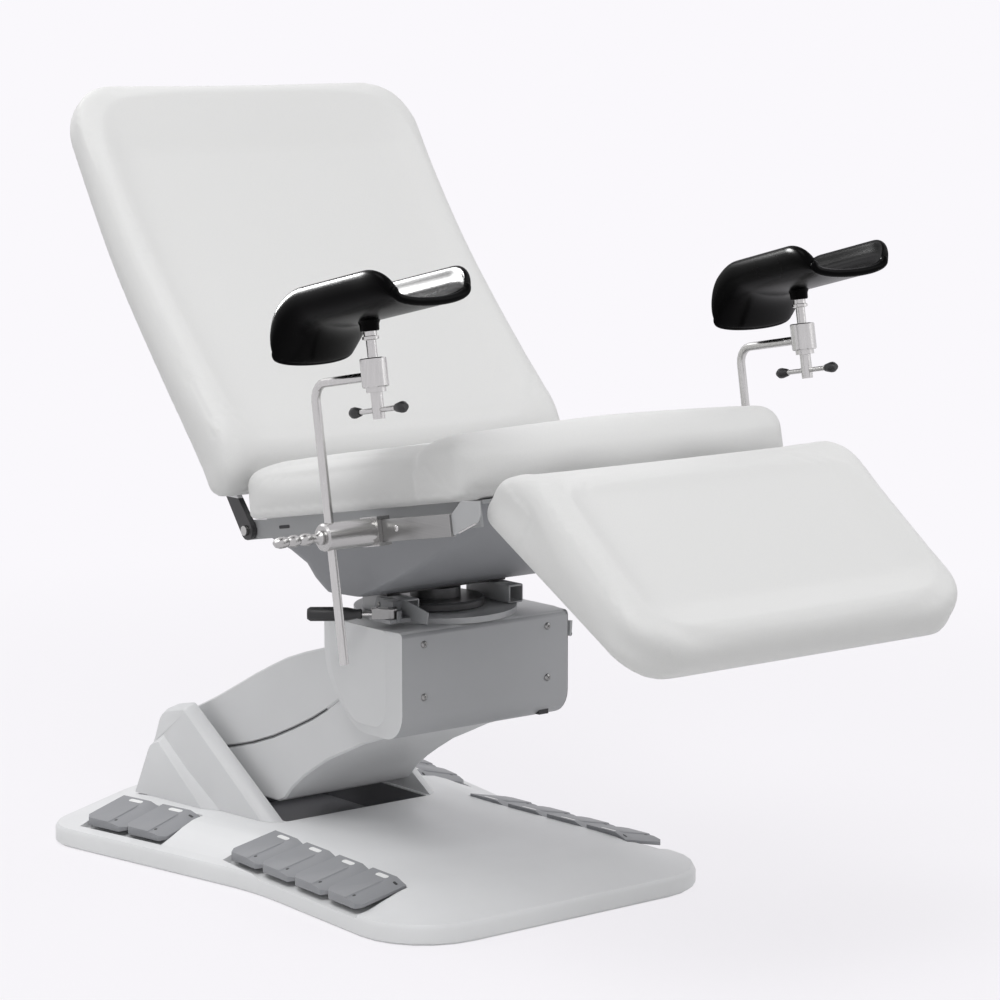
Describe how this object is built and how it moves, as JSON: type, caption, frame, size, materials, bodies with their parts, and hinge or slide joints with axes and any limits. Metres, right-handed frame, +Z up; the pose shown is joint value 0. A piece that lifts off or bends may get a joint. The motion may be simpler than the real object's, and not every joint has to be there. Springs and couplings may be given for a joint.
{
  "type": "gynaecological examination chair",
  "caption": "Lifting gynaecological examination chair with swivelling, tilting seat, reclining back, folding leg rest, clamped knee supports and a base with foot pedals.",
  "frame": {"origin": "on the floor under the middle of the base plate", "axes": "+X towards the leg rest, +Y towards the patient's left, +Z up"},
  "size_m": [1.6572, 1.069, 1.3039],
  "materials": {
    "cover": "moulded, satin",
    "housing": "moulded, satin",
    "upholstery": "smooth, wipeable artificial leather",
    "frame": "powder coated",
    "steel": "satin stainless",
    "black_plastic": "smooth, glossy",
    "pedal": "fine grained"
  },
  "bodies": {
    "base": {"base_plate": "cover", "cheek_left": "cover", "cheek_right": "cover", "lift_pivot_shaft": "steel"},
    "arm": {"arm_upper_cover": "cover", "arm_lower_cover": "cover"},
    "head": {"head_housing": "cover", "head_front_cover": "housing", "head_pivot_shaft": "steel", "turntable_ring": "frame"},
    "swivel": {"swivel_hub": "black_plastic", "carrier_tube_left": "frame", "carrier_tube_right": "frame", "swivel_carrier": "frame", "tilt_shaft": "steel", "brake_bracket": "frame"},
    "brake": {"brake_lever": "steel", "brake_grip": "black_plastic"},
    "seat": {"seat_frame": "frame", "seat_hull": "housing", "seat_cushion": "upholstery", "back_hinge_pin_left": "steel", "back_hinge_pin_right": "steel", "leg_hinge_pin_left": "steel", "leg_hinge_pin_right": "steel", "side_rail_left": "steel", "side_rail_right": "steel"},
    "back": {"back_cushion": "upholstery", "back_panel": "cover"},
    "leg_rest": {"leg_cushion": "upholstery", "leg_panel": "cover"},
    "clamp_right": {"rail_clamp_right": "steel"},
    "knob_right": {"clamp_knob_right": "steel"},
    "rod_right": {"support_rod_right": "steel"},
    "handle_right": {"tee_handle_right": "steel", "tee_grip_front_right": "black_plastic", "tee_grip_rear_right": "black_plastic"},
    "knee_right": {"shell_stud_right": "steel", "knee_shell_right": "black_plastic"},
    "clamp_left": {"rail_clamp_left": "steel"},
    "knob_left": {"clamp_knob_left": "steel"},
    "rod_left": {"support_rod_left": "steel"},
    "handle_left": {"tee_handle_left": "steel", "tee_grip_front_left": "black_plastic", "tee_grip_rear_left": "black_plastic"},
    "knee_left": {"shell_stud_left": "steel", "knee_shell_left": "black_plastic"},
    "pedal_right_front_1": {"pedal_right_front_1": "pedal"},
    "pedal_right_front_2": {"pedal_right_front_2": "pedal"},
    "pedal_right_front_3": {"pedal_right_front_3": "pedal"},
    "pedal_right_front_4": {"pedal_right_front_4": "pedal"},
    "pedal_right_rear_1": {"pedal_right_rear_1": "pedal"},
    "pedal_right_rear_2": {"pedal_right_rear_2": "pedal"},
    "pedal_left_front_1": {"pedal_left_front_1": "pedal"},
    "pedal_left_front_2": {"pedal_left_front_2": "pedal"},
    "pedal_left_front_3": {"pedal_left_front_3": "pedal"},
    "pedal_left_front_4": {"pedal_left_front_4": "pedal"},
    "pedal_left_rear_1": {"pedal_left_rear_1": "pedal"},
    "pedal_left_rear_2": {"pedal_left_rear_2": "pedal"}
  },
  "joints": [
    {"name": "lift", "type": "hinge", "parent": "base", "child": "arm", "pos_m": [-0.225, 0, 0.13], "axis": [0, -1, 0], "range_deg": [-12, 30]},
    {"name": "head_level", "type": "hinge", "parent": "arm", "child": "head", "pos_m": [0.215, 0, 0.345], "axis": [0, -1, 0], "range_deg": [-30, 12]},
    {"name": "seat_swivel", "type": "hinge", "parent": "head", "child": "swivel", "pos_m": [0.205, 0, 0.447], "axis": [0, 0, 1], "range_deg": [-90, 90]},
    {"name": "brake_release", "type": "hinge", "parent": "swivel", "child": "brake", "pos_m": [0.292, -0.157, 0.469], "axis": [0, 0, 1], "range_deg": [0, 60]},
    {"name": "seat_tilt", "type": "hinge", "parent": "swivel", "child": "seat", "pos_m": [0.3, 0, 0.555], "axis": [0, -1, 0], "range_deg": [-9, 5]},
    {"name": "back_recline", "type": "hinge", "parent": "seat", "child": "back", "pos_m": [0.09022, 0, 0.59523], "axis": [0, -1, 0], "range_deg": [0, 42]},
    {"name": "leg_rest_fold", "type": "hinge", "parent": "seat", "child": "leg_rest", "pos_m": [0.78602, 0, 0.70595], "axis": [0, -1, 0], "range_deg": [-35, 38]},
    {"name": "clamp_slide_right", "type": "slide", "parent": "seat", "child": "clamp_right", "axis": [0.9857, 0, 0.1685], "range_m": [-0.05, 0.16]},
    {"name": "knob_turn_right", "type": "hinge", "parent": "clamp_right", "child": "knob_right", "pos_m": [0.50938, -0.431, 0.65065], "axis": [0, 1, 0], "continuous": true},
    {"name": "rod_height_right", "type": "slide", "parent": "clamp_right", "child": "rod_right", "axis": [-0.1685, 0, 0.9857], "range_m": [-0.08, 0.15]},
    {"name": "handle_turn_right", "type": "hinge", "parent": "rod_right", "child": "handle_right", "pos_m": [0.61958, -0.431, 0.91398], "axis": [-0.1685, 0, 0.9857], "continuous": true},
    {"name": "knee_swing_right", "type": "hinge", "parent": "rod_right", "child": "knee_right", "pos_m": [0.61958, -0.431, 0.91398], "axis": [-0.1685, 0, 0.9857], "range_deg": [-40, 40]},
    {"name": "clamp_slide_left", "type": "slide", "parent": "seat", "child": "clamp_left", "axis": [0.9857, 0, 0.1685], "range_m": [-0.05, 0.16]},
    {"name": "knob_turn_left", "type": "hinge", "parent": "clamp_left", "child": "knob_left", "pos_m": [0.50938, 0.431, 0.65065], "axis": [0, 1, 0], "continuous": true},
    {"name": "rod_height_left", "type": "slide", "parent": "clamp_left", "child": "rod_left", "axis": [-0.1685, 0, 0.9857], "range_m": [-0.08, 0.15]},
    {"name": "handle_turn_left", "type": "hinge", "parent": "rod_left", "child": "handle_left", "pos_m": [0.61958, 0.431, 0.91398], "axis": [-0.1685, 0, 0.9857], "continuous": true},
    {"name": "knee_swing_left", "type": "hinge", "parent": "rod_left", "child": "knee_left", "pos_m": [0.61958, 0.431, 0.91398], "axis": [-0.1685, 0, 0.9857], "range_deg": [-40, 40]},
    {"name": "press_pedal_right_front_1", "type": "hinge", "parent": "base", "child": "pedal_right_front_1", "pos_m": [0.08168, -0.20966, 0.059], "axis": [0.9985, -0.0541, 0], "range_deg": [0, 5], "stiffness_Nm_per_rad": 12, "springref_deg": -3.44},
    {"name": "press_pedal_right_front_2", "type": "hinge", "parent": "base", "child": "pedal_right_front_2", "pos_m": [0.18003, -0.21499, 0.059], "axis": [0.9985, -0.0541, 0], "range_deg": [0, 5], "stiffness_Nm_per_rad": 12, "springref_deg": -3.44},
    {"name": "press_pedal_right_front_3", "type": "hinge", "parent": "base", "child": "pedal_right_front_3", "pos_m": [0.27839, -0.22032, 0.059], "axis": [0.9985, -0.0541, 0], "range_deg": [0, 5], "stiffness_Nm_per_rad": 12, "springref_deg": -3.44},
    {"name": "press_pedal_right_front_4", "type": "hinge", "parent": "base", "child": "pedal_right_front_4", "pos_m": [0.37675, -0.22564, 0.059], "axis": [0.9985, -0.0541, 0], "range_deg": [0, 5], "stiffness_Nm_per_rad": 12, "springref_deg": -3.44},
    {"name": "press_pedal_right_rear_1", "type": "hinge", "parent": "base", "child": "pedal_right_rear_1", "pos_m": [-0.28861, -0.26286, 0.059], "axis": [0.9826, 0.1857, 0], "range_deg": [0, 5], "stiffness_Nm_per_rad": 12, "springref_deg": -3.44},
    {"name": "press_pedal_right_rear_2", "type": "hinge", "parent": "base", "child": "pedal_right_rear_2", "pos_m": [-0.19182, -0.24457, 0.059], "axis": [0.9826, 0.1857, 0], "range_deg": [0, 5], "stiffness_Nm_per_rad": 12, "springref_deg": -3.44},
    {"name": "press_pedal_left_front_1", "type": "hinge", "parent": "base", "child": "pedal_left_front_1", "pos_m": [0.08168, 0.20966, 0.059], "axis": [-0.9985, -0.0541, 0], "range_deg": [0, 5], "stiffness_Nm_per_rad": 12, "springref_deg": -3.44},
    {"name": "press_pedal_left_front_2", "type": "hinge", "parent": "base", "child": "pedal_left_front_2", "pos_m": [0.18003, 0.21499, 0.059], "axis": [-0.9985, -0.0541, 0], "range_deg": [0, 5], "stiffness_Nm_per_rad": 12, "springref_deg": -3.44},
    {"name": "press_pedal_left_front_3", "type": "hinge", "parent": "base", "child": "pedal_left_front_3", "pos_m": [0.27839, 0.22032, 0.059], "axis": [-0.9985, -0.0541, 0], "range_deg": [0, 5], "stiffness_Nm_per_rad": 12, "springref_deg": -3.44},
    {"name": "press_pedal_left_front_4", "type": "hinge", "parent": "base", "child": "pedal_left_front_4", "pos_m": [0.37675, 0.22564, 0.059], "axis": [-0.9985, -0.0541, 0], "range_deg": [0, 5], "stiffness_Nm_per_rad": 12, "springref_deg": -3.44},
    {"name": "press_pedal_left_rear_1", "type": "hinge", "parent": "base", "child": "pedal_left_rear_1", "pos_m": [-0.28861, 0.26286, 0.059], "axis": [-0.9826, 0.1857, 0], "range_deg": [0, 5], "stiffness_Nm_per_rad": 12, "springref_deg": -3.44},
    {"name": "press_pedal_left_rear_2", "type": "hinge", "parent": "base", "child": "pedal_left_rear_2", "pos_m": [-0.19182, 0.24457, 0.059], "axis": [-0.9826, 0.1857, 0], "range_deg": [0, 5], "stiffness_Nm_per_rad": 12, "springref_deg": -3.44}
  ],
  "couplings": [
    {"joint": "head_level", "follows": "lift", "ratio": -1}
  ]
}
